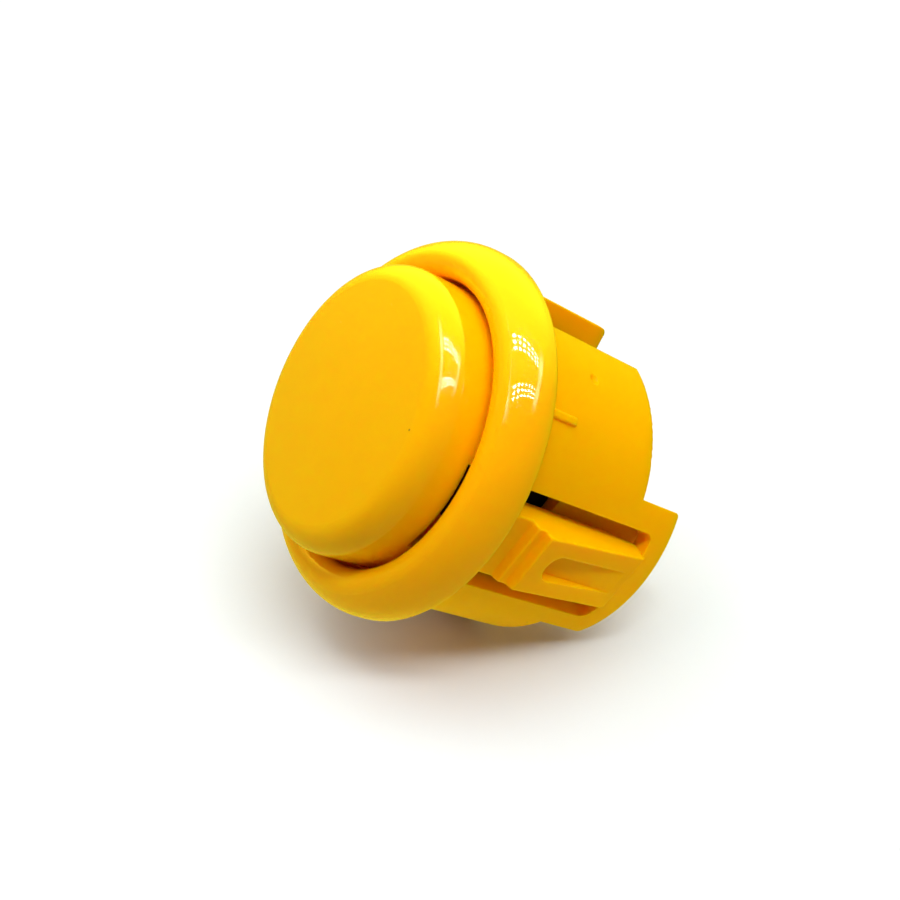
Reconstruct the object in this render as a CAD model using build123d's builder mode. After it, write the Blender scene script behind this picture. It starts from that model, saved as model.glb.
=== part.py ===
from build123d import *
from math import acos, cos, degrees, radians, sin, tan
import os

os.makedirs("parts", exist_ok=True)

# Snap-in arcade push button. Z = 0 is the top face of the panel, +Z comes out of the panel
# towards the player. The snap tabs are at -Y and +Y, the plunger's hooks at -X and +X.
# Lengths are in millimetres, angles in degrees.

# Plunger
cap_radius = 12.5
cap_top = 8.4
cap_crown = 0.6
cap_round = 2.2
cap_wall = 1.5
cap_roof = 1.7
skirt_depth = 0.6
notch_half_angle = 20.0
notch_top = 3.15
press_travel = 2.5
post_span = 6.0
post_rib = 1.4
post_gap = 0.1

# Rim and barrel of the housing
cap_clearance = 0.3
barrel_wall = 1.65
barrel_length = 14.4
rim_overhang = 2.15
rim_round = 3.9
rim_land = 0.6
mouth_round = 1.45
rear_edge_round = 0.25
floor_thickness = 1.8

# Ears, windows and snap tabs
ear_length = 4.7
ear_half_angle = 30.0
ear_bridge = 2.1
ear_corner = 0.4
window_half_angle = 20.0
window_shoulder = 0.7
window_corner = 0.8
tab_width = 5.9
tab_end_gap = 0.3
tab_crest_depth = 4.9
tab_crest_rise = 1.45
tab_root = 2.1
tab_heel = 3.0
tab_sink = 0.9
tab_draft = 7.0
tab_round = 0.16
tooth_count = 2
tooth_pitch = 1.05
tooth_step = 0.74
tooth_slope = 0.3
tooth_ease = 0.05
groove_width = 2.4
groove_front = 3.0
groove_land = 0.1

# Side slots and the plunger's hooked legs
slot_half_angle = 9.9
slot_shoulder = 2.4
guide_clearance = 0.35
leg_thickness = 1.4
hook_rise = 0.2
hook_height = 1.9
hook_lip = 0.7
hook_inset = 0.3

# Locating ribs, the long rib beside each slot and the gate mark on the barrel
rib_width = 0.75
rib_length = 4.5
rib_height = 0.3
rib_round = 0.2
slot_rib_half_angle = 2.4
slot_rib_height = 0.55
slot_rib_length = 13.3
slot_rib_round = 0.6
gate_angle = -26.5
gate_depth = 7.0
gate_radius = 0.8
gate_recess = 0.2

# Switch case and its pocket
switch_width = 6.4
switch_length = 20.0
base_height = 7.4
cover_height = 3.2
case_wall = 0.9
case_round = 0.4
case_step = 0.5
pocket_clearance = 0.1
pocket_wall = 1.2
pocket_height = 4.9
cheek_wall = 0.8
catch_reach = 0.35
catch_height = 1.0
catch_gap = 0.1

# Switch actuator, contact bar and contacts
collar_height = 0.8
collar_radius = 2.6
stem_radius = 1.7
stem_clearance = 0.15
stem_round = 0.4
stem_reserve = 0.3
flange_radius = 2.1
flange_height = 0.9
flange_gap = 0.1
pin_radius = 0.9
pin_length = 2.5
bar_thickness = 0.3
bar_width = 3.0
bar_length = 12.6
bar_clearance = 0.1
contact_radius = 0.8
contact_height = 0.5
contact_place = 5.2
contact_gap = 0.05

# Terminals and return spring
terminal_width = 2.8
terminal_thickness = 0.5
terminal_place = 6.6
terminal_reach = 12.2
terminal_clearance = 0.1
terminal_hole_radius = 0.65
terminal_hole_depth = 2.4
terminal_tip = 0.7
foot_overlap = 1.2
spring_radius = 1.4
spring_wire = 0.4
spring_turns = 6
well_clearance = 0.25
well_depth = 3.0

# Levels and radii that follow
bore_radius = cap_radius + cap_clearance
barrel_radius = bore_radius + barrel_wall
rim_radius = barrel_radius + rim_overhang
ear_end = -barrel_length - ear_length
window_bottom = ear_end + ear_bridge
switch_bottom = -barrel_length + floor_thickness
case_split = switch_bottom + base_height
cover_top = case_split + cover_height
collar_top = cover_top + collar_height
actuator_top = collar_top + press_travel + stem_reserve
flange_top = cover_top - case_wall - flange_gap
flange_bottom = flange_top - flange_height
bar_bottom = flange_bottom - bar_thickness
bar_contact_bottom = bar_bottom - contact_height
fixed_contact_top = bar_contact_bottom - press_travel - contact_gap
foot_top = fixed_contact_top - contact_height
contact_floor = foot_top - terminal_thickness
well_floor = contact_floor - well_depth
pocket_half_width = switch_width / 2 + pocket_clearance
pocket_half_length = switch_length / 2 + pocket_clearance
pocket_top = switch_bottom + pocket_height
case_length = switch_length - 2 * case_step
step_height = pocket_height - catch_height - catch_gap
end_wall = pocket_half_length + pocket_wall
box_half_width = barrel_radius * sin(radians(window_half_angle)) + cheek_wall
leg_half_angle = slot_half_angle - degrees(guide_clearance / barrel_radius)


def polar(radius, angle):
    """Point in the XY plane at a radius and an angle."""
    return (radius * cos(radians(angle)), radius * sin(radians(angle)))


def radial_plane(angle):
    """Plane through the press axis: local x points outwards at the angle, local y is +Z."""
    out_x, out_y = polar(1, angle)
    return Plane((0, 0, 0), x_dir=(out_x, out_y, 0), z_dir=(out_y, -out_x, 0))


def ring_sector(inner, outer, middle, half_angle):
    """Face between two radii, spread to both sides of an angle."""
    with BuildSketch() as sector:
        with BuildLine():
            CenterArc((0, 0), outer, middle - half_angle, 2 * half_angle)
            CenterArc((0, 0), inner, middle - half_angle, 2 * half_angle)
            for edge_angle in (middle - half_angle, middle + half_angle):
                Line(polar(inner, edge_angle), polar(outer, edge_angle))
        make_face()
    return sector.sketch


# Snap tab: sloping back, crest and soft teeth down to the free end, as it stands at +Y
tab_inner = barrel_radius - tab_root
tab_crest = barrel_radius + tab_crest_rise
tab_end = -window_shoulder - tab_end_gap
tab_foot = window_bottom - ear_bridge / 2
with BuildPart() as snap_tab:
    with BuildSketch(radial_plane(90)) as tab_section:
        with BuildLine():
            tooth_feet = [tooth * tooth_pitch - tab_crest_depth for tooth in range(tooth_count)]
            land_ends = tooth_feet[1:] + [tab_end]
            stair = [(tab_crest, -tab_crest_depth)]
            for tooth in range(tooth_count):
                land = tab_crest - (tooth + 1) * tooth_step
                stair.append((land, tooth_feet[tooth] + tooth_slope))
                stair.append((land, land_ends[tooth]))
            Polyline(
                (bore_radius, tab_foot),
                (barrel_radius - tab_sink, tab_foot),
                (barrel_radius, window_bottom),
                *stair,
                (tab_inner, tab_end),
                (tab_inner, window_bottom + tab_heel),
                (bore_radius, window_bottom),
                close=True,
            )
        make_face()
        serration = tab_section.vertices().filter_by_position(Axis.Y, -tab_crest_depth, tab_end)
        serration = serration.filter_by_position(Axis.X, tab_inner + tooth_step, tab_crest)
        fillet(serration, tab_round + tooth_ease)
    extrude(amount=tab_width, both=True)

    # Sides with draft, and soft edges along the back
    root_width = tab_width + 2 * tab_root * tan(radians(tab_draft))
    with BuildSketch(Plane.XY.offset(tab_foot)):
        with Locations((0, tab_inner)):
            Trapezoid(
                root_width,
                tab_crest - tab_inner,
                90 - tab_draft,
                align=(Align.CENTER, Align.MIN),
            )
    extrude(amount=tab_end - tab_foot, mode=Mode.INTERSECT)
    outer_edges = snap_tab.edges().filter_by_position(Axis.Y, barrel_radius, tab_crest)
    fillet(outer_edges.sort_by(SortBy.LENGTH)[-2:], tab_round)

    # Flat groove down the back, round at the front, that runs out just above the ear's surface
    groove_floor = barrel_radius + groove_land
    groove_start = tab_crest_depth + groove_front
    with BuildSketch(Plane((0, groove_floor, 0), x_dir=(1, 0, 0), z_dir=(0, 1, 0))):
        with Locations((0, groove_start)):
            Circle(groove_width / 2)
            Rectangle(groove_width, -window_bottom - groove_start, align=(Align.CENTER, Align.MIN))
    extrude(amount=tab_crest_rise, taper=-tab_draft, mode=Mode.SUBTRACT)


# Housing: one moulding with rim, barrel, ears, snap tabs and the switch pocket
with BuildPart() as housing:
    with BuildSketch(Plane.XZ) as shell_section:
        with BuildLine():
            rim_centre = rim_radius - rim_round
            rim_sweep = degrees(acos((bore_radius - rim_centre) / rim_round))
            crown = CenterArc((rim_centre, rim_land), rim_round, 0, rim_sweep)
            Polyline(
                crown @ 1,
                (bore_radius, -barrel_length),
                (barrel_radius, -barrel_length),
                (barrel_radius, 0),
                (rim_radius, 0),
                (rim_radius, rim_land),
            )
        make_face()
        fillet(shell_section.vertices().sort_by(Axis.Y)[-1], mouth_round)
        rear_corner = shell_section.vertices().group_by(Axis.Y)[0].sort_by(Axis.X)[-1]
        fillet(rear_corner, rear_edge_round)
    revolve(axis=Axis.Z)

    # Ears: the barrel's wall runs on behind each snap tab
    with BuildSketch(Plane.XY.offset(ear_end)):
        for side in (90, 270):
            add(ring_sector(bore_radius, barrel_radius, side, ear_half_angle))
    extrude(amount=ear_length + floor_thickness)
    ear_ends = housing.edges().filter_by_position(Axis.Z, ear_end, ear_end)
    fillet(ear_ends.filter_by(GeomType.LINE), ear_corner)

    # Windows for the snap tabs
    with BuildSketch(Plane.XY.offset(window_bottom)):
        for side in (90, 270):
            add(ring_sector(bore_radius - barrel_wall, rim_radius, side, window_half_angle))
    extrude(amount=-window_shoulder - window_bottom, mode=Mode.SUBTRACT)
    window_ends = housing.edges().filter_by_position(Axis.Z, window_bottom, window_bottom)
    fillet(window_ends.filter_by(GeomType.LINE), window_corner)

    # Rear floor with the pocket for the switch on it
    with BuildSketch(Plane.XY.offset(-barrel_length)):
        Circle(bore_radius + barrel_wall / 2)
        Rectangle(2 * barrel_radius, 2 * end_wall, mode=Mode.INTERSECT)
    extrude(amount=floor_thickness)
    with BuildSketch(Plane.XY.offset(switch_bottom)):
        Circle(bore_radius + barrel_wall / 2)
        Rectangle(2 * barrel_radius, 2 * end_wall, mode=Mode.INTERSECT)
        Rectangle(2 * barrel_radius, 2 * pocket_half_length, mode=Mode.SUBTRACT)
        Rectangle(2 * (pocket_half_width + pocket_wall), 2 * end_wall)
        Rectangle(2 * pocket_half_width, 2 * pocket_half_length, mode=Mode.SUBTRACT)
    extrude(amount=pocket_height)

    # Behind each tab the pocket's end wall runs down to the ear, with a cheek on each side
    with BuildSketch(Plane.XY.offset(ear_end)):
        Circle(bore_radius + barrel_wall / 2)
        Rectangle(2 * box_half_width, 2 * barrel_radius, mode=Mode.INTERSECT)
        Rectangle(2 * box_half_width, 2 * pocket_half_length, mode=Mode.SUBTRACT)
        with Locations((0, -end_wall - barrel_radius / 2), (0, end_wall + barrel_radius / 2)):
            Rectangle(2 * (box_half_width - cheek_wall), barrel_radius, mode=Mode.SUBTRACT)
    extrude(amount=ear_length + floor_thickness)

    # Catches at the top of the end walls hold the switch down by its step
    for side in (90, 270):
        with BuildSketch(radial_plane(side)):
            Polygon(
                (pocket_half_length, pocket_top),
                (pocket_half_length, pocket_top - catch_height),
                (pocket_half_length - catch_reach, pocket_top - catch_height),
                align=None,
            )
        extrude(amount=switch_width / 2 - case_wall, both=True)

    # Snap tabs, hinged at the ear's bridge
    with PolarLocations(0, 2):
        add(snap_tab.part)

    # Side slots for the plunger's hooks, open at the rear
    with BuildSketch(Plane.XY.offset(-barrel_length)):
        for side in (0, 180):
            add(ring_sector(cap_radius - leg_thickness, rim_radius, side, slot_half_angle))
    extrude(amount=barrel_length - slot_shoulder, mode=Mode.SUBTRACT)

    # Locating ribs that centre the barrel in its hole
    with BuildSketch(Plane.XY.offset(-rib_length)):
        with PolarLocations(bore_radius + barrel_wall / 2, 4, start_angle=45):
            RectangleRounded(
                barrel_wall / 2 + rib_height,
                rib_width,
                rib_round,
                align=(Align.MIN, Align.CENTER),
            )
    extrude(amount=rib_length)

    # Long rib along one edge of each slot, with the wall cut back to the rib's end
    with BuildSketch(Plane.XY.offset(-barrel_length)):
        for side in (0, 180):
            rib_middle = side + slot_half_angle + slot_rib_half_angle
            add(ring_sector(cap_radius - leg_thickness, rim_radius, rib_middle, slot_rib_half_angle))
    extrude(amount=barrel_length - slot_rib_length, mode=Mode.SUBTRACT)
    for side in (0, 180):
        with BuildSketch(radial_plane(side + slot_half_angle)) as rib_section:
            with BuildLine():
                rib_root = bore_radius + barrel_wall / 2
                rib_face = barrel_radius + slot_rib_height
                Polyline(
                    (rib_root, 0),
                    (rib_face, 0),
                    (rib_face, -slot_rib_length),
                    (rib_root, -slot_rib_length),
                    close=True,
                )
            make_face()
            rib_tip = rib_section.vertices().group_by(Axis.Y)[0].sort_by(Axis.X)[-1]
            fillet(rib_tip, slot_rib_round)
        revolve(axis=Axis.Z, revolution_arc=2 * slot_rib_half_angle)

    # Slots in the floor for the terminals
    with BuildSketch(Plane.XY.offset(-barrel_length)):
        with Locations((0, -terminal_place), (0, terminal_place)):
            Rectangle(terminal_width + 4 * terminal_clearance, terminal_thickness + 4 * terminal_clearance)
    extrude(amount=floor_thickness, mode=Mode.SUBTRACT)

    # Gate mark: a shallow round dimple
    gate_x, gate_y = polar(barrel_radius + gate_radius - gate_recess, gate_angle)
    with Locations((gate_x, gate_y, -gate_depth)):
        Sphere(gate_radius, mode=Mode.SUBTRACT)

housing.part.label = "housing"
export_step(housing.part, "parts/housing.step")


# Plunger: cap with skirt, hooked legs and the post that presses the switch
with BuildPart() as plunger:
    with BuildSketch(Plane.XZ) as cap_section:
        with BuildLine():
            face_edge = (cap_radius, cap_top - cap_crown)
            TangentArc((0, cap_top), face_edge, tangent=(1, 0))
            Polyline(
                face_edge,
                (cap_radius, -skirt_depth),
                (cap_radius - cap_wall, -skirt_depth),
                (cap_radius - cap_wall, cap_top - cap_roof),
                (0, cap_top - cap_roof),
                (0, cap_top),
            )
        make_face()
        rim_corner = cap_section.vertices().group_by(Axis.X)[-1].sort_by(Axis.Y)[-1]
        fillet(rim_corner, cap_round)
        inner_corner = cap_section.vertices().filter_by_position(
            Axis.X, cap_radius - cap_wall, cap_radius - cap_wall
        ).sort_by(Axis.Y)[-1]
        fillet(inner_corner, cap_round - cap_wall)
    revolve(axis=Axis.Z)

    # Notches in the skirt over the ends of the switch
    with BuildSketch(Plane.XY.offset(-skirt_depth)):
        for side in (90, 270):
            add(ring_sector(cap_radius - 2 * cap_wall, barrel_radius, side, notch_half_angle))
    extrude(amount=skirt_depth + notch_top, mode=Mode.SUBTRACT)

    # Legs with hooks that stop under the slots' shoulders
    leg_inner = cap_radius - leg_thickness
    hook_radius = barrel_radius - hook_inset
    hook_top = -slot_shoulder - hook_rise
    hook_bottom = hook_top - hook_height
    for side in (0, 180):
        with BuildSketch(radial_plane(side - leg_half_angle)):
            Polygon(
                (leg_inner, 0),
                (leg_inner, hook_bottom),
                (cap_radius, hook_bottom),
                (hook_radius, hook_top - hook_lip),
                (hook_radius, hook_top),
                (cap_radius, hook_top),
                (cap_radius, 0),
                align=None,
            )
        revolve(axis=Axis.Z, revolution_arc=2 * leg_half_angle)

    # Ribbed post
    with BuildSketch(Plane.XY.offset(actuator_top + post_gap)):
        Rectangle(post_span, post_rib)
        Rectangle(post_rib, post_span)
    extrude(amount=cap_top - cap_roof / 2 - actuator_top - post_gap)

plunger.part.label = "plunger"
export_step(plunger.part, "parts/plunger.step")


# Switch base: tub with a step at each end, a well for the spring and slots for the terminals
with BuildPart() as switch_base:
    with BuildSketch(Plane.XY.offset(switch_bottom)):
        RectangleRounded(switch_width, switch_length, case_round)
    extrude(amount=step_height)
    with BuildSketch(Plane.XY.offset(switch_bottom)):
        RectangleRounded(switch_width, case_length, case_round)
    extrude(amount=base_height)
    with BuildSketch(Plane.XY.offset(contact_floor)):
        Rectangle(switch_width - 2 * case_wall, case_length - 2 * case_wall)
    extrude(amount=case_split - contact_floor, mode=Mode.SUBTRACT)
    with BuildSketch(Plane.XY.offset(well_floor)):
        Circle(spring_radius + spring_wire / 2 + well_clearance)
    extrude(amount=well_depth, mode=Mode.SUBTRACT)
    with BuildSketch(Plane.XY.offset(switch_bottom)):
        with Locations((0, -terminal_place), (0, terminal_place)):
            Rectangle(terminal_width + 2 * terminal_clearance, terminal_thickness + 2 * terminal_clearance)
    extrude(amount=contact_floor - switch_bottom, mode=Mode.SUBTRACT)

switch_base.part.label = "switch_base"
export_step(switch_base.part, "parts/switch_base.step")


# Switch cover: lid with the collar that guides the actuator
with BuildPart() as switch_cover:
    with BuildSketch(Plane.XY.offset(case_split)):
        RectangleRounded(switch_width, case_length, case_round)
    extrude(amount=cover_height)
    with BuildSketch(Plane.XY.offset(cover_top)):
        Circle(collar_radius)
    extrude(amount=collar_height)
    with BuildSketch(Plane.XY.offset(case_split)):
        Rectangle(switch_width - 2 * case_wall, case_length - 2 * case_wall)
    extrude(amount=cover_height - case_wall, mode=Mode.SUBTRACT)
    with BuildSketch(Plane.XY.offset(collar_top)):
        Circle(stem_radius + stem_clearance)
    extrude(amount=-collar_height - case_wall, mode=Mode.SUBTRACT)

switch_cover.part.label = "switch_cover"
export_step(switch_cover.part, "parts/switch_cover.step")


# Switch actuator: stem, flange under the cover, and a pin that centres bar and spring
with BuildPart() as switch_actuator:
    with BuildSketch(Plane.XZ) as actuator_section:
        with BuildLine():
            Polyline(
                (0, actuator_top),
                (stem_radius, actuator_top),
                (stem_radius, flange_top),
                (flange_radius, flange_top),
                (flange_radius, flange_bottom),
                (pin_radius, flange_bottom),
                (pin_radius, flange_bottom - pin_length),
                (0, flange_bottom - pin_length),
                close=True,
            )
        make_face()
        fillet(actuator_section.vertices().group_by(Axis.Y)[-1].sort_by(Axis.X)[-1], stem_round)
    revolve(axis=Axis.Z)

switch_actuator.part.label = "switch_actuator"
export_step(switch_actuator.part, "parts/switch_actuator.step")


# Contact bar: flat strip under the flange, with round ends and a hole for the pin
with BuildPart() as contact_bar:
    with BuildSketch(Plane.XY.offset(bar_bottom)):
        SlotOverall(bar_length, bar_width, rotation=90)
        Circle(pin_radius + bar_clearance, mode=Mode.SUBTRACT)
    extrude(amount=bar_thickness)

contact_bar.part.label = "contact_bar"
export_step(contact_bar.part, "parts/contact_bar.step")


# Contacts and terminals, one set on each side of the switch
for side_name, side in (("left", -1), ("right", 1)):
    with BuildPart() as bar_contact:
        with BuildSketch(Plane.XY.offset(bar_contact_bottom)):
            with Locations((0, side * contact_place)):
                Circle(contact_radius)
        extrude(amount=contact_height)
        fillet(bar_contact.edges().group_by(Axis.Z)[0], contact_height / 2)
    bar_contact.part.label = f"bar_contact_{side_name}"
    export_step(bar_contact.part, f"parts/bar_contact_{side_name}.step")

    with BuildPart() as fixed_contact:
        with BuildSketch(Plane.XY.offset(foot_top)):
            with Locations((0, side * contact_place)):
                Circle(contact_radius)
        extrude(amount=contact_height)
        fillet(fixed_contact.edges().group_by(Axis.Z)[-1], contact_height / 2)
    fixed_contact.part.label = f"fixed_contact_{side_name}"
    export_step(fixed_contact.part, f"parts/fixed_contact_{side_name}.step")

    # Bent strip: a foot under the contact, then a blade down through the base and the floor
    with BuildPart() as terminal:
        blade_inner = terminal_place - terminal_thickness / 2
        blade_outer = terminal_place + terminal_thickness / 2
        blade_end = -barrel_length - terminal_reach
        with BuildSketch(radial_plane(side * 90)):
            Polygon(
                (contact_place - foot_overlap, foot_top),
                (blade_outer, foot_top),
                (blade_outer, blade_end),
                (blade_inner, blade_end),
                (blade_inner, contact_floor),
                (contact_place - foot_overlap, contact_floor),
                align=None,
            )
        extrude(amount=terminal_width / 2, both=True)
        tip_edges = terminal.edges().filter_by(Axis.Y).group_by(Axis.Z)[0]
        chamfer(tip_edges, terminal_tip)
        hole_centre = (0, side * blade_outer, blade_end + terminal_hole_depth)
        with BuildSketch(Plane(hole_centre, z_dir=(0, side, 0))):
            Circle(terminal_hole_radius)
        extrude(amount=-terminal_thickness, mode=Mode.SUBTRACT)
    terminal.part.label = f"terminal_{side_name}"
    export_step(terminal.part, f"parts/terminal_{side_name}.step")


# Return spring, from the floor of the well up to the contact bar
with BuildPart() as return_spring:
    spring_start = well_floor + spring_wire / 2
    spring_height = bar_bottom - well_floor - spring_wire
    with BuildLine() as coil:
        Helix(
            pitch=spring_height / spring_turns,
            height=spring_height,
            radius=spring_radius,
            center=(0, 0, spring_start),
        )
    with BuildSketch(Plane(origin=coil.line @ 0, z_dir=coil.line % 0)):
        Circle(spring_wire / 2)
    sweep(path=coil.line, is_frenet=True)

return_spring.part.label = "return_spring"
export_step(return_spring.part, "parts/return_spring.step")
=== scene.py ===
# Looks of the snap-in push button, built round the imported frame
import math

import bpy
from mathutils import Matrix, Vector


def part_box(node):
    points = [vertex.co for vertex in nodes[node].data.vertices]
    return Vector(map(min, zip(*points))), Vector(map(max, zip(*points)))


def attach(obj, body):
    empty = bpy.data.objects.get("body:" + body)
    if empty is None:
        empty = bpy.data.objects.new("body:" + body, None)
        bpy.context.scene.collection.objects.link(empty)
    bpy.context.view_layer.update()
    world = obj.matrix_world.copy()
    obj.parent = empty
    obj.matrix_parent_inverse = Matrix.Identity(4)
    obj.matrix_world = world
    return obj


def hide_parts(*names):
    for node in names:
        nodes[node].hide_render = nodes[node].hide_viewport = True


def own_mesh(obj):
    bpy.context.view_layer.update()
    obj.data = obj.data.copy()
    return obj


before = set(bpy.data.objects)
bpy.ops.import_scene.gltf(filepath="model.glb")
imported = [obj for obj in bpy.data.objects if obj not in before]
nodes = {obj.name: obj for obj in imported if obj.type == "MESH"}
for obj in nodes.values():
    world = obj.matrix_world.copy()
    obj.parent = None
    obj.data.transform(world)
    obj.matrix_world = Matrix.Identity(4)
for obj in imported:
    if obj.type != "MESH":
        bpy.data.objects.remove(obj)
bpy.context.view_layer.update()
mm = 0.001
print("frame loaded,", len(nodes), "nodes")


def addObject(name, data):
    obj = bpy.data.objects.new(name, data)
    bpy.context.scene.collection.objects.link(obj)
    return obj


def turned(place, along, across):
    axes = Matrix((along, across, along.cross(across)))
    return Matrix.Translation(place) @ axes.transposed().to_4x4()


# Camera at the angle of the picture

camera = {
    "eye": (33.46 * mm, -72.32 * mm, 58.03 * mm),
    "right": (0.5661, -0.3711, -0.7361),
    "up": (0.7528, 0.5966, 0.2781),
    "lens": 46.0,               # mm
    "sensor": 36.0,             # mm across
    "clip": (5 * mm, 10),
}


def cameraAxes():
    right = Vector(camera["right"]).normalized()
    up = Vector(camera["up"])
    up = (up - right * up.dot(right)).normalized()
    return right, up, right.cross(up)


def placeCamera():
    right, up, back = cameraAxes()
    data = bpy.data.cameras.new("camera")
    data.lens = camera["lens"]
    data.sensor_width = camera["sensor"]
    data.clip_start, data.clip_end = camera["clip"]
    obj = addObject("camera", data)
    obj.matrix_world = turned(Vector(camera["eye"]), right, up)
    bpy.context.scene.camera = obj


placeCamera()
print("camera placed")


# Node helpers

def addNode(tree, kind, place, **settings):
    node = tree.nodes.new(kind)
    node.location = place
    for name, value in settings.items():
        setattr(node, name, value)
    return node


def feed(tree, socket, value):
    # another node's output is linked, anything else is set on the socket
    if isinstance(value, bpy.types.NodeSocket):
        tree.links.new(value, socket)
    else:
        socket.default_value = value


def feedAll(tree, node, values):
    for name, value in values.items():
        feed(tree, node.inputs[name], value)


def newMaterial(name):
    material = bpy.data.materials.new(name)
    material.use_nodes = True
    tree = material.node_tree
    tree.nodes.clear()
    out = addNode(tree, "ShaderNodeOutputMaterial", (900, 0))
    return material, tree, out.inputs["Surface"]


def newPrincipled(name):
    material, tree, surface = newMaterial(name)
    shader = addNode(tree, "ShaderNodeBsdfPrincipled", (560, 0))
    tree.links.new(shader.outputs["BSDF"], surface)
    return material, tree, shader


def newFinish(name, inputs):
    # group that puts out a colour, a roughness and a bump height
    group = bpy.data.node_groups.new(name, "ShaderNodeTree")
    for label, kind, value in inputs:
        socket = group.interface.new_socket(label, in_out="INPUT", socket_type=kind)
        socket.default_value = value
    group.interface.new_socket("Colour", in_out="OUTPUT", socket_type="NodeSocketColor")
    for label in ("Roughness", "Height"):
        group.interface.new_socket(label, in_out="OUTPUT", socket_type="NodeSocketFloat")
    source = addNode(group, "NodeGroupInput", (-900, 0))
    result = addNode(group, "NodeGroupOutput", (700, 0))
    return group, source.outputs, result.inputs


def useFinish(tree, group, place, **values):
    node = addNode(tree, "ShaderNodeGroup", place, node_tree=group)
    feedAll(tree, node, values)
    return node.outputs


def objectCoords(tree, place):
    return addNode(tree, "ShaderNodeTexCoord", place).outputs["Object"]


def splitNode(tree, place, vector):
    node = addNode(tree, "ShaderNodeSeparateXYZ", place)
    tree.links.new(vector, node.inputs[0])
    return node.outputs


def mathNode(tree, operation, place, *values):
    node = addNode(tree, "ShaderNodeMath", place, operation=operation)
    for socket, value in zip(node.inputs, values):
        feed(tree, socket, value)
    return node.outputs[0]


def rangeNode(tree, place, value, start, end, low=0.0, high=1.0, ease="LINEAR"):
    node = addNode(tree, "ShaderNodeMapRange", place, interpolation_type=ease)
    feedAll(tree, node, {"Value": value, "From Min": start, "From Max": end})
    feedAll(tree, node, {"To Min": low, "To Max": high})
    return node.outputs["Result"]


def noiseNode(tree, place, coords, scale, detail):
    node = addNode(tree, "ShaderNodeTexNoise", place)
    feedAll(tree, node, {"Vector": coords, "Scale": scale, "Detail": detail})
    return node.outputs["Fac"]


def mixColour(tree, place, factor, first, second):
    node = addNode(tree, "ShaderNodeMix", place, data_type="RGBA")
    feedAll(tree, node, {"Factor": factor, "A": first, "B": second})
    return node.outputs["Result"]


def bumpNode(tree, place, **values):
    node = addNode(tree, "ShaderNodeBump", place)
    feedAll(tree, node, values)
    return node.outputs["Normal"]


# Shared finishes

mouldedLook = {
    "cloudScale": 140.0,
    "cloudDetail": 3.0,
    "speckScale": 170.0,
    "speckSize": (0.010, 0.020),      # full inside the first, gone past the second
    "speckColour": (0.12, 0.05, 0.01, 1),
    "patchScale": 420.0,
    "patchDetail": 4.0,
    "patchGloss": (0.8, 1.2),         # times the roughness
    "grainDetail": 2.0,
}


def mouldedGrain():
    # fine surface of a moulding: mottled colour, a few dark specks, uneven gloss, bump height
    group, given, result = newFinish("mouldedGrain", [
        ("Colour", "NodeSocketColor", (1, 1, 1, 1)),
        ("Mottle", "NodeSocketFloat", 0.05),
        ("Speck", "NodeSocketFloat", 0.6),
        ("Roughness", "NodeSocketFloat", 0.3),
        ("Grain", "NodeSocketFloat", 9000.0),
    ])
    link = group.links.new
    look = mouldedLook
    coords = objectCoords(group, (-900, -300))

    clouds = noiseNode(group, (-600, 300), coords, look["cloudScale"], look["cloudDetail"])
    shade = mathNode(group, "MULTIPLY_ADD", (-380, 300), clouds, given["Mottle"], 1.0)
    shade = mathNode(group, "MULTIPLY_ADD", (-200, 300), given["Mottle"], -0.5, shade)
    tone = addNode(group, "ShaderNodeVectorMath", (0, 300), operation="SCALE")
    link(given["Colour"], tone.inputs[0])
    link(shade, tone.inputs["Scale"])

    cells = addNode(group, "ShaderNodeTexVoronoi", (-600, 0))
    feedAll(group, cells, {"Vector": coords, "Scale": look["speckScale"]})
    inner, outer = look["speckSize"]
    speck = rangeNode(group, (-380, 0), cells.outputs["Distance"], inner, outer, 1.0, 0.0)
    speck = mathNode(group, "MULTIPLY", (-200, 0), speck, given["Speck"])
    mixed = mixColour(group, (250, 200), speck, tone.outputs[0], look["speckColour"])
    link(mixed, result["Colour"])

    patches = noiseNode(group, (-600, -300), coords, look["patchScale"], look["patchDetail"])
    gloss = rangeNode(group, (-380, -300), patches, 0.0, 1.0, *look["patchGloss"])
    rough = mathNode(group, "MULTIPLY", (-200, -300), gloss, given["Roughness"])
    link(rough, result["Roughness"])

    fine = noiseNode(group, (-600, -600), coords, given["Grain"], look["grainDetail"])
    link(fine, result["Height"])
    return group


stripLook = {
    "lineScale": 14000.0,
    "lineDetail": 3.0,
    "lineGloss": (0.75, 1.3),         # times the roughness
    "tarnishScale": 900.0,
    "tarnishDetail": 5.0,
    "tarnishRange": (0.5, 0.75),      # of the noise, where it begins and where it is full
}


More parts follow.
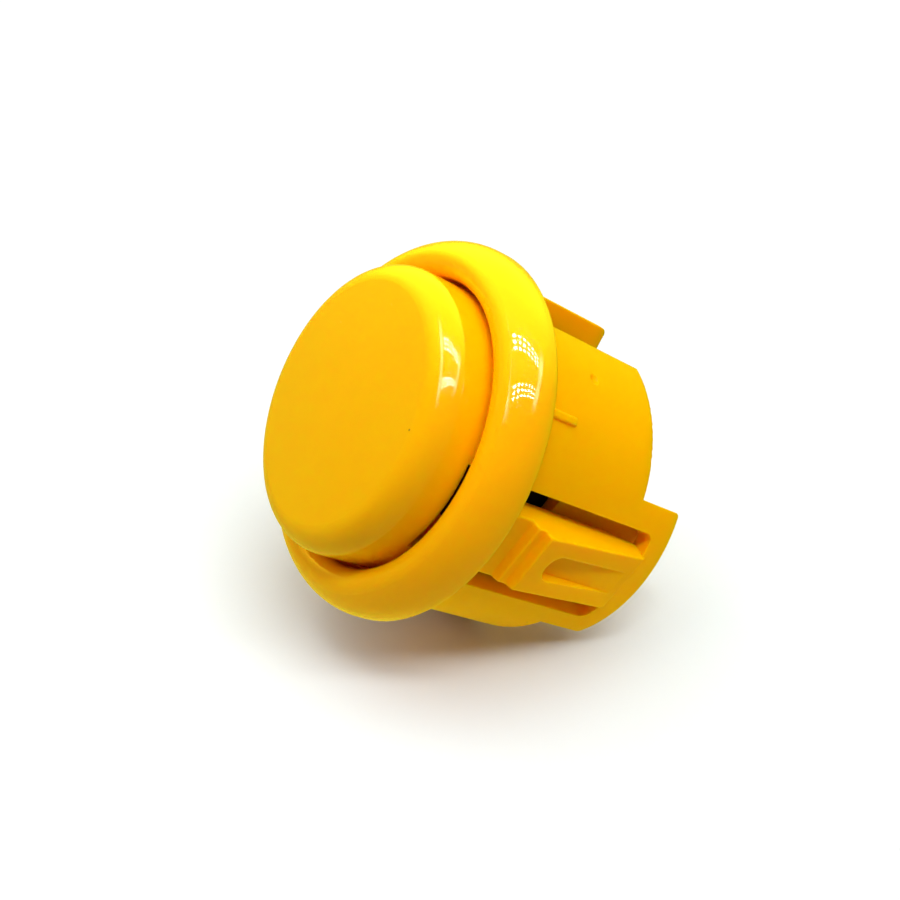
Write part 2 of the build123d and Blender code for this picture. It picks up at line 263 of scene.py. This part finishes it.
def stripMetal():
    # rolled or drawn metal: lines along one way, dull patches of tarnish
    group, given, result = newFinish("stripMetal", [
        ("Colour", "NodeSocketColor", (1, 1, 1, 1)),
        ("Tarnish", "NodeSocketColor", (0.3, 0.2, 0.1, 1)),
        ("Patches", "NodeSocketFloat", 0.35),
        ("Lines", "NodeSocketVector", (1, 1, 0.05)),
        ("Roughness", "NodeSocketFloat", 0.28),
    ])
    link = group.links.new
    look = stripLook
    coords = objectCoords(group, (-900, -300))
    stretch = addNode(group, "ShaderNodeVectorMath", (-700, -300), operation="MULTIPLY")
    link(coords, stretch.inputs[0])
    link(given["Lines"], stretch.inputs[1])
    drawn = stretch.outputs[0]
    lines = noiseNode(group, (-500, -300), drawn, look["lineScale"], look["lineDetail"])
    link(lines, result["Height"])

    clouds = noiseNode(group, (-500, 200), coords, look["tarnishScale"], look["tarnishDetail"])
    worn = rangeNode(group, (-300, 200), clouds, *look["tarnishRange"])
    worn = mathNode(group, "MULTIPLY", (-100, 200), worn, given["Patches"])
    mixed = mixColour(group, (150, 250), worn, given["Colour"], given["Tarnish"])
    link(mixed, result["Colour"])

    uneven = rangeNode(group, (-300, -100), lines, 0.0, 1.0, *look["lineGloss"])
    rough = mathNode(group, "MULTIPLY", (-100, -100), uneven, given["Roughness"])
    link(rough, result["Roughness"])
    return group


grainGroup = mouldedGrain()
metalGroup = stripMetal()
print("shared finishes ready")


# Yellow mouldings: glossy skin above the panel, satin below it

yellowPlastic = {
    "colour": (0.95, 0.42, 0.0, 1),
    "mottle": 0.05,
    "speck": 0.7,
    "shine": 0.05,                # the base is nearly matte, the skin over it is glossy
    "polished": 0.25,
    "satin": 0.4,
    "skinRoughness": 0.02,
    "skinFrom": {"housing": 0.0, "plunger": -1 * mm},      # heights
    "skinFade": 0.2 * mm,         # up and down from there
    "grain": 9000.0,
    "grainHeight": 0.004 * mm,
    "grainStrength": 0.5,
    "polishedGrain": 0.06,        # share of the grain that is left on the polished skin
    "glow": 0.85,                 # light that passes through the plastic
    "glowReach": (1.0, 0.38, 0.02),
    "glowScale": 2.4 * mm,
    "edge": 0.12 * mm,
    "edgeSamples": 6,
}


def yellowMoulding(name, piece):
    material, tree, shader = newPrincipled(name)
    look = yellowPlastic
    height = splitNode(tree, (-700, 0), objectCoords(tree, (-900, 0)))["Z"]
    start, fade = look["skinFrom"][piece], look["skinFade"]
    skin = rangeNode(tree, (-500, 0), height, start - fade, start + fade)
    finish = rangeNode(tree, (-300, -150), skin, 0.0, 1.0, look["satin"], look["polished"])
    keep = rangeNode(tree, (-300, -400), skin, 0.0, 1.0, 1.0, look["polishedGrain"])
    grain = useFinish(
        tree, grainGroup, (-60, 0),
        Colour=look["colour"], Mottle=look["mottle"], Speck=look["speck"],
        Roughness=finish, Grain=look["grain"],
    )
    soft = addNode(tree, "ShaderNodeBevel", (0, -600), samples=look["edgeSamples"])
    soft.inputs["Radius"].default_value = look["edge"]
    bump = bumpNode(
        tree, (300, -300),
        Height=mathNode(tree, "MULTIPLY", (130, -300), grain["Height"], keep),
        Strength=look["grainStrength"], Distance=look["grainHeight"], Normal=soft.outputs["Normal"],
    )
    feedAll(tree, shader, {
        "Base Color": grain["Colour"],
        "Roughness": grain["Roughness"],
        "Normal": bump,
        "Coat Weight": skin,
        "Coat Roughness": look["skinRoughness"],
        "Specular IOR Level": look["shine"],
        "Subsurface Weight": look["glow"],
        "Subsurface Radius": look["glowReach"],
        "Subsurface Scale": look["glowScale"],
    })
    return material


# Black and white plastics of the switch

switchPlastic = {
    "black": {"colour": (0.012, 0.012, 0.013, 1), "roughness": 0.42, "grain": 12000.0},
    "white": {"colour": (0.72, 0.70, 0.64, 1), "roughness": 0.35, "grain": 9000.0},
    "mottle": 0.15,
    "speck": 0.0,
    "grainHeight": 0.012 * mm,
    "grainStrength": 0.6,
    "shine": 0.2,
}


def switchMoulding(name, kind):
    material, tree, shader = newPrincipled(name)
    shared, look = switchPlastic, switchPlastic[kind]
    grain = useFinish(
        tree, grainGroup, (-240, 0),
        Colour=look["colour"], Mottle=shared["mottle"], Speck=shared["speck"],
        Roughness=look["roughness"], Grain=look["grain"],
    )
    bump = bumpNode(
        tree, (240, -300),
        Height=grain["Height"], Strength=shared["grainStrength"], Distance=shared["grainHeight"],
    )
    feedAll(tree, shader, {
        "Base Color": grain["Colour"],
        "Roughness": grain["Roughness"],
        "Normal": bump,
        "Specular IOR Level": shared["shine"],
    })
    return material


# Metals of the switch

switchMetal = {
    "brass": {
        "colour": (0.72, 0.56, 0.34, 1), "tarnish": (0.36, 0.24, 0.12, 1), "lines": (1, 1, 0.04),
        "rough": 0.55, "metallic": 0.35,      # dull, under its lacquer
    },
    "bronze": {
        "colour": (0.70, 0.40, 0.20, 1), "tarnish": (0.30, 0.14, 0.06, 1), "lines": (1, 0.04, 1),
        "rough": 0.30, "metallic": 1.0,
    },
    "silver": {
        "colour": (0.88, 0.87, 0.84, 1), "tarnish": (0.40, 0.36, 0.30, 1), "lines": (1, 1, 1),
        "rough": 0.24, "metallic": 1.0,
    },
    "steel": {
        "colour": (0.60, 0.60, 0.61, 1), "tarnish": (0.25, 0.24, 0.23, 1), "lines": (1, 1, 0.2),
        "rough": 0.22, "metallic": 1.0,
    },
    "patches": 0.35,              # how strong the tarnish is
    "lineHeight": 0.003 * mm,
    "lineStrength": 0.4,
}


def metalStrip(name, kind):
    material, tree, shader = newPrincipled(name)
    shared, look = switchMetal, switchMetal[kind]
    metal = useFinish(
        tree, metalGroup, (-240, 0),
        Colour=look["colour"], Tarnish=look["tarnish"], Patches=shared["patches"],
        Lines=look["lines"], Roughness=look["rough"],
    )
    bump = bumpNode(
        tree, (240, -300),
        Height=metal["Height"], Strength=shared["lineStrength"], Distance=shared["lineHeight"],
    )
    feedAll(tree, shader, {
        "Base Color": metal["Colour"],
        "Roughness": metal["Roughness"],
        "Normal": bump,
        "Metallic": look["metallic"],
    })
    return material


def dressNodes():
    black = switchMoulding("switchBlack", "black")
    silver = metalStrip("contactSilver", "silver")
    brass = metalStrip("terminalBrass", "brass")
    looks = {
        "housing": yellowMoulding("housingYellow", "housing"),
        "plunger": yellowMoulding("plungerYellow", "plunger"),
        "switch_base": black,
        "switch_cover": black,
        "switch_actuator": switchMoulding("actuatorWhite", "white"),
        "contact_bar": metalStrip("barBronze", "bronze"),
    }
    for side in ("left", "right"):
        looks["bar_contact_" + side] = silver
        looks["fixed_contact_" + side] = silver
        looks["terminal_" + side] = brass
    for name, material in looks.items():
        slots = nodes[name].data.materials
        slots.clear()
        slots.append(material)


dressNodes()
print("mouldings and metals dressed")


# Return spring: closed ends, sized to the spring in the frame

spring = {"turns": 6.0, "wire": 0.4 * mm, "stepsPerTurn": 40, "wireSides": 12}


def springTree(material):
    tree = bpy.data.node_groups.new("springCoil", "GeometryNodeTree")
    for label in ("Turns", "Radius", "Wire", "Base", "Height"):
        tree.interface.new_socket(label, in_out="INPUT", socket_type="NodeSocketFloat")
    tree.interface.new_socket("Geometry", in_out="OUTPUT", socket_type="NodeSocketGeometry")
    link = tree.links.new
    given = addNode(tree, "NodeGroupInput", (-900, 0)).outputs
    result = addNode(tree, "NodeGroupOutput", (1100, 0))

    coil = addNode(tree, "GeometryNodeCurveSpiral", (-600, 200))
    feedAll(tree, coil, {
        "Resolution": spring["stepsPerTurn"],
        "Rotations": given["Turns"],
        "Start Radius": given["Radius"],
        "End Radius": given["Radius"],
        "Height": 1.0,            # the heights below take its place
    })

    # the pitch closes up towards both ends
    along = addNode(tree, "GeometryNodeSplineParameter", (-600, -100))
    rise = rangeNode(tree, (-400, -100), along.outputs["Factor"], 0.0, 1.0, ease="SMOOTHSTEP")
    level = mathNode(tree, "MULTIPLY_ADD", (-200, -100), rise, given["Height"], given["Base"])
    spot = addNode(tree, "GeometryNodeInputPosition", (-400, -350))
    split = splitNode(tree, (-200, -350), spot.outputs[0])
    join = addNode(tree, "ShaderNodeCombineXYZ", (0, -200))
    feedAll(tree, join, {"X": split["X"], "Y": split["Y"], "Z": level})
    move = addNode(tree, "GeometryNodeSetPosition", (200, 200))
    feedAll(tree, move, {"Geometry": coil.outputs["Curve"], "Position": join.outputs[0]})

    section = addNode(tree, "GeometryNodeCurvePrimitiveCircle", (200, -50))
    half = mathNode(tree, "MULTIPLY", (0, 0), given["Wire"], 0.5)
    feedAll(tree, section, {"Resolution": spring["wireSides"], "Radius": half})
    sweep = addNode(tree, "GeometryNodeCurveToMesh", (400, 100))
    feedAll(tree, sweep, {
        "Curve": move.outputs["Geometry"],
        "Profile Curve": section.outputs["Curve"],
        "Fill Caps": True,
    })
    smooth = addNode(tree, "GeometryNodeSetShadeSmooth", (560, 100))
    link(sweep.outputs["Mesh"], smooth.inputs["Geometry"])
    real = addNode(tree, "GeometryNodeRealizeInstances", (720, 100))
    link(smooth.outputs["Geometry"], real.inputs["Geometry"])
    paint = addNode(tree, "GeometryNodeSetMaterial", (900, 100))
    feedAll(tree, paint, {"Geometry": real.outputs["Geometry"], "Material": material})
    link(paint.outputs["Geometry"], result.inputs["Geometry"])
    return tree


def makeSpring():
    low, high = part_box("return_spring")
    length = high.z - low.z
    tree = springTree(metalStrip("springSteel", "steel"))
    holder = addObject("springHolder", bpy.data.meshes.new("springHolder"))
    modifier = holder.modifiers.new("coil", "NODES")
    modifier.node_group = tree
    sizes = {
        "Turns": spring["turns"],
        "Radius": (high.x - low.x - spring["wire"]) / 2,
        "Wire": spring["wire"],
        "Base": low.z + spring["wire"] / 2,
        "Height": length - spring["wire"],
    }
    for item in tree.interface.items_tree:
        if item.in_out == "INPUT":
            modifier[item.identifier] = sizes[item.name]
    solved = holder.evaluated_get(bpy.context.evaluated_depsgraph_get())
    mesh = bpy.data.meshes.new_from_object(solved)
    mesh.name = "returnSpring"
    holder.modifiers.remove(modifier)
    bpy.data.objects.remove(holder)
    piece = addObject("returnSpring", mesh)
    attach(piece, "housing")
    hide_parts("return_spring")
    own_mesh(piece)


makeSpring()
print("return spring wound")


# Studio: white table under the button as it lies, inside a light tent

studio = {
    "elevation": 33.0,            # degrees of the camera above the table
    "table": 400 * mm,            # from its middle to each side
    "fadeFrom": 32 * mm,
    "fadeTo": 54 * mm,
    "tableWhite": (0.7, 0.75, 0.77, 1),
    "tableRoughness": 0.7,
    "tableShine": 0.2,
    "softReach": 220 * mm,
    "softSize": 240 * mm,
    "softLamps": {                # shares towards right, above and near, then watts
        "overhead": ((0, 1, 0), 0.37),
        "upperLeft": ((-0.75, 0.75, 0), 0.23),
        "upperRight": ((0.75, 0.75, 0), 0.08),
        "farLeft": ((-0.6, 0.5, -0.6), 0.17),
        "nearRight": ((0.35, 0.3, 0.9), 0.06),
    },
    "backdrop": 1.05,             # what the camera sees round the table
    "roofWay": (0.15, 0.75, -0.65),   # middle of the bright roof that the gloss mirrors
    "roofEdge": 0.25,             # cosines to that middle, at its dark edge and where it is full
    "roofFull": 0.97,
    "roofGlow": 5.2,
    "roofLow": (-0.1, 0.4),       # heights over the table, as sines, between which it begins
    "roofColour": (1.0, 0.88, 0.03, 1),
    "footGlow": 0.8,              # what the gloss sees under the roof
    "footColour": (1.0, 0.82, 0.06, 1),
}


def studioAxes():
    right, up, back = cameraAxes()
    tilt = math.radians(studio["elevation"])
    above = up * math.cos(tilt) + back * math.sin(tilt)
    return right, above, right.cross(above)


def studioWay(shares):
    right, above, near = studioAxes()
    return (right * shares[0] + above * shares[1] + near * shares[2]).normalized()


def tableMaterial():
    # white, fading away round the button and seen only from above
    material, tree, surface = newMaterial("tableWhite")
    link = tree.links.new
    white = addNode(tree, "ShaderNodeBsdfPrincipled", (400, 0))
    feedAll(tree, white, {
        "Base Color": studio["tableWhite"],
        "Roughness": studio["tableRoughness"],
        "Specular IOR Level": studio["tableShine"],
    })
    away = addNode(tree, "ShaderNodeVectorMath", (-600, -200), operation="LENGTH")
    link(objectCoords(tree, (-900, -200)), away.inputs[0])
    away = away.outputs["Value"]
    start, end = studio["fadeFrom"], studio["fadeTo"]
    fade = rangeNode(tree, (-400, -200), away, start, end, ease="SMOOTHSTEP")
    behind = addNode(tree, "ShaderNodeNewGeometry", (-400, -450)).outputs["Backfacing"]
    gone = mathNode(tree, "MAXIMUM", (-100, -300), fade, behind)
    empty = addNode(tree, "ShaderNodeBsdfTransparent", (400, -500))
    mix = addNode(tree, "ShaderNodeMixShader", (700, 0))
    link(gone, mix.inputs["Fac"])
    link(white.outputs["BSDF"], mix.inputs[1])
    link(empty.outputs["BSDF"], mix.inputs[2])
    link(mix.outputs["Shader"], surface)
    return material


def stageSheet(name, low, high, material, place, along, across):
    mesh = bpy.data.meshes.new(name)
    (x0, y0), (x1, y1) = low, high
    corners = [(x0, y0, 0), (x1, y0, 0), (x1, y1, 0), (x0, y1, 0)]
    mesh.from_pydata(corners, [], [(0, 1, 2, 3)])
    mesh.materials.append(material)
    obj = addObject(name, mesh)
    obj.matrix_world = turned(place, along, across)
    return obj


def makeTable():
    right, above, near = studioAxes()
    half = studio["table"]
    lowest = min(v.co.dot(above) for o in nodes.values() for v in o.data.vertices)
    middle = above * lowest
    white = tableMaterial()
    table = stageSheet("table", (-half, -half), (half, half), white, middle, right, -near)
    table.visible_glossy = False      # as under a tent's even light, the gloss doesn't show it


# Lamp panel in the tent's roof: two bars of small lamps, and their glow on the tent's walls

lampPanel = {
    "height": 400 * mm,           # over the button; what follows is in shares of it
    "low": (-0.5, -0.4),          # corners, to the right and towards the camera
    "high": (1.6, 0.9),
    "bars": (0.0, 0.46),          # places towards the camera
    "barPower": (0.16, 1.7),      # watts
    "barEdge": 0.004,             # how soft it is
    "start": -0.1,
    "end": 1.0,
    "width": 0.17,
    "columns": 7,
    "rows": 3,
    "dot": 0.3,                   # radius in shares of the spacing
    "dotEdge": 0.03,
    "dotGlow": 45.0,
    "colour": (1.0, 1.0, 0.7, 1),
    "walls": ((-0.2, 0.08), (1.25, 0.16)),      # places to the right, and half widths
    "wallEdge": 0.5,              # share of the half width
    "wallGlow": 8.0,
    "wallReach": 0.34,
}


def within(tree, place, value, middle, half, soft):
    # 1 inside the band, falling to 0 over its soft edge
    x, y = place
    off = mathNode(tree, "SUBTRACT", place, value, middle)
    off = mathNode(tree, "ABSOLUTE", (x + 160, y), off)
    return rangeNode(tree, (x + 320, y), off, half - soft, half + soft, 1.0, 0.0, "SMOOTHSTEP")


def fromDotLine(tree, place, value, perShare):
    # squared distance from the nearest line of dots, in spacings
    x, y = place
    steps = mathNode(tree, "MULTIPLY", place, value, perShare)
    steps = mathNode(tree, "PINGPONG", (x + 200, y), steps, 0.5)
    return mathNode(tree, "POWER", (x + 400, y), steps, 2.0)


def lampMaterial():
    material, tree, surface = newMaterial("lampPanel")
    link = tree.links.new
    look = lampPanel
    share = addNode(tree, "ShaderNodeVectorMath", (-2000, 0), operation="SCALE")
    link(objectCoords(tree, (-2200, 0)), share.inputs[0])
    share.inputs["Scale"].default_value = 1 / look["height"]
    split = splitNode(tree, (-1800, 0), share.outputs[0])
    along, across = split["X"], split["Y"]

    length = look["end"] - look["start"]
    middle = (look["end"] + look["start"]) / 2
    reach = look["wallReach"] / 2
    column = fromDotLine(tree, (-1500, 300), along, look["columns"] / length)
    inLength = within(tree, (-1500, 100), along, middle, length / 2, look["barEdge"])
    glow = 0.0
    for count, bar in enumerate(look["bars"]):
        y = -300 - 700 * count
        row = mathNode(tree, "SUBTRACT", (-1500, y), across, bar)
        row = fromDotLine(tree, (-1300, y), row, look["rows"] / look["width"])
        far = mathNode(tree, "ADD", (-700, y), column, row)
        dot = within(tree, (-500, y), far, 0.0, look["dot"] ** 2, look["dotEdge"])
        inBar = within(tree, (-1500, y - 250), across, bar, look["width"] / 2, look["barEdge"])
        inside = mathNode(tree, "MULTIPLY", (-700, y - 250), inBar, inLength)
        lit = mathNode(tree, "MULTIPLY", (-100, y), dot, inside)
        glow = mathNode(tree, "MULTIPLY_ADD", (100, y), lit, look["dotGlow"], glow)
        for wall, half in look["walls"]:
            soft = half * look["wallEdge"]
            onWall = within(tree, (-1500, y - 450), along, wall, half, soft)
            close = within(tree, (-900, y - 450), across, bar, reach, reach)
            sheen = mathNode(tree, "MULTIPLY", (-400, y - 450), onWall, close)
            glow = mathNode(tree, "MULTIPLY_ADD", (300, y), sheen, look["wallGlow"], glow)
    shine = addNode(tree, "ShaderNodeEmission", (500, 100))
    feedAll(tree, shine, {"Color": look["colour"], "Strength": glow})
    empty = addNode(tree, "ShaderNodeBsdfTransparent", (500, -100))
    both = addNode(tree, "ShaderNodeAddShader", (700, 0))
    link(shine.outputs[0], both.inputs[0])
    link(empty.outputs[0], both.inputs[1])
    link(both.outputs[0], surface)
    return material


def addLamp(name, place, along, across, length, width, power):
    data = bpy.data.lights.new(name, "AREA")
    data.shape = "RECTANGLE"
    data.size = length
    data.size_y = width
    data.energy = power
    obj = addObject(name, data)
    obj.matrix_world = turned(place, along, across)
    obj.visible_glossy = False      # the gloss mirrors the lamp panel and the tent instead


def makeLampPanel():
    right, above, near = studioAxes()
    reach = lampPanel["height"]
    low = [share * reach for share in lampPanel["low"]]
    high = [share * reach for share in lampPanel["high"]]
    panel = stageSheet("lampPanel", low, high, lampMaterial(), above * reach, right, near)
    panel.visible_camera = False
    panel.visible_diffuse = False
    panel.visible_transmission = False
    panel.visible_shadow = False
    length = (lampPanel["end"] - lampPanel["start"]) * reach
    width = lampPanel["width"] * reach
    middle = (lampPanel["end"] + lampPanel["start"]) / 2 * reach
    for count, (bar, power) in enumerate(zip(lampPanel["bars"], lampPanel["barPower"])):
        place = above * reach + right * middle + near * bar * reach
        addLamp(f"lampBar{count}", place, right, -near, length, width, power)


def makeSoftLamps():
    right, above, near = studioAxes()
    size = studio["softSize"]
    for name, (shares, power) in studio["softLamps"].items():
        way = studioWay(shares)
        straightUp = way.dot(above) > 0.99
        along = way.cross(near if straightUp else above).normalized()
        addLamp(name, way * studio["softReach"], along, way.cross(along), size, size, power)


def leaning(tree, place, coords, way):
    # cosine between the ray and the way
    node = addNode(tree, "ShaderNodeVectorMath", place, operation="DOT_PRODUCT")
    tree.links.new(coords, node.inputs[0])
    node.inputs[1].default_value = way
    return node.outputs["Value"]


def makeWorld():
    # the camera sees the backdrop, the gloss sees the tent, and the lamps do the rest
    right, above, near = studioAxes()
    world = bpy.data.worlds.new("studioWorld")
    bpy.context.scene.world = world
    world.use_nodes = True
    tree = world.node_tree
    tree.nodes.clear()
    coords = addNode(tree, "ShaderNodeTexCoord", (-900, -200)).outputs["Generated"]
    path = addNode(tree, "ShaderNodeLightPath", (-500, 300)).outputs
    byGloss, byCamera = path["Is Glossy Ray"], path["Is Camera Ray"]

    toRoof = leaning(tree, (-700, -200), coords, studioWay(studio["roofWay"]))
    edge, full = studio["roofEdge"], studio["roofFull"]
    roof = rangeNode(tree, (-500, -200), toRoof, edge, full, 0.0, studio["roofGlow"], "SMOOTHSTEP")
    climb = leaning(tree, (-700, -450), coords, above)
    begin = rangeNode(tree, (-500, -450), climb, *studio["roofLow"], ease="SMOOTHSTEP")
    bright = mathNode(tree, "MULTIPLY", (-300, -300), roof, begin)
    tent = mathNode(tree, "ADD", (-100, -300), bright, studio["footGlow"])
    tent = mathNode(tree, "MULTIPLY", (60, -200), byGloss, tent)
    seen = mathNode(tree, "MULTIPLY_ADD", (220, -100), byCamera, studio["backdrop"], tent)

    warm = mixColour(tree, (-200, 500), bright, studio["footColour"], studio["roofColour"])
    tint = mixColour(tree, (0, 350), byGloss, (1, 1, 1, 1), warm)
    sky = addNode(tree, "ShaderNodeBackground", (400, 0))
    feedAll(tree, sky, {"Color": tint, "Strength": seen})
    out = addNode(tree, "ShaderNodeOutputWorld", (600, 0))
    tree.links.new(sky.outputs[0], out.inputs["Surface"])


makeTable()
makeLampPanel()
makeSoftLamps()
makeWorld()
bpy.context.scene.view_settings.view_transform = "Standard"
print("studio set up")
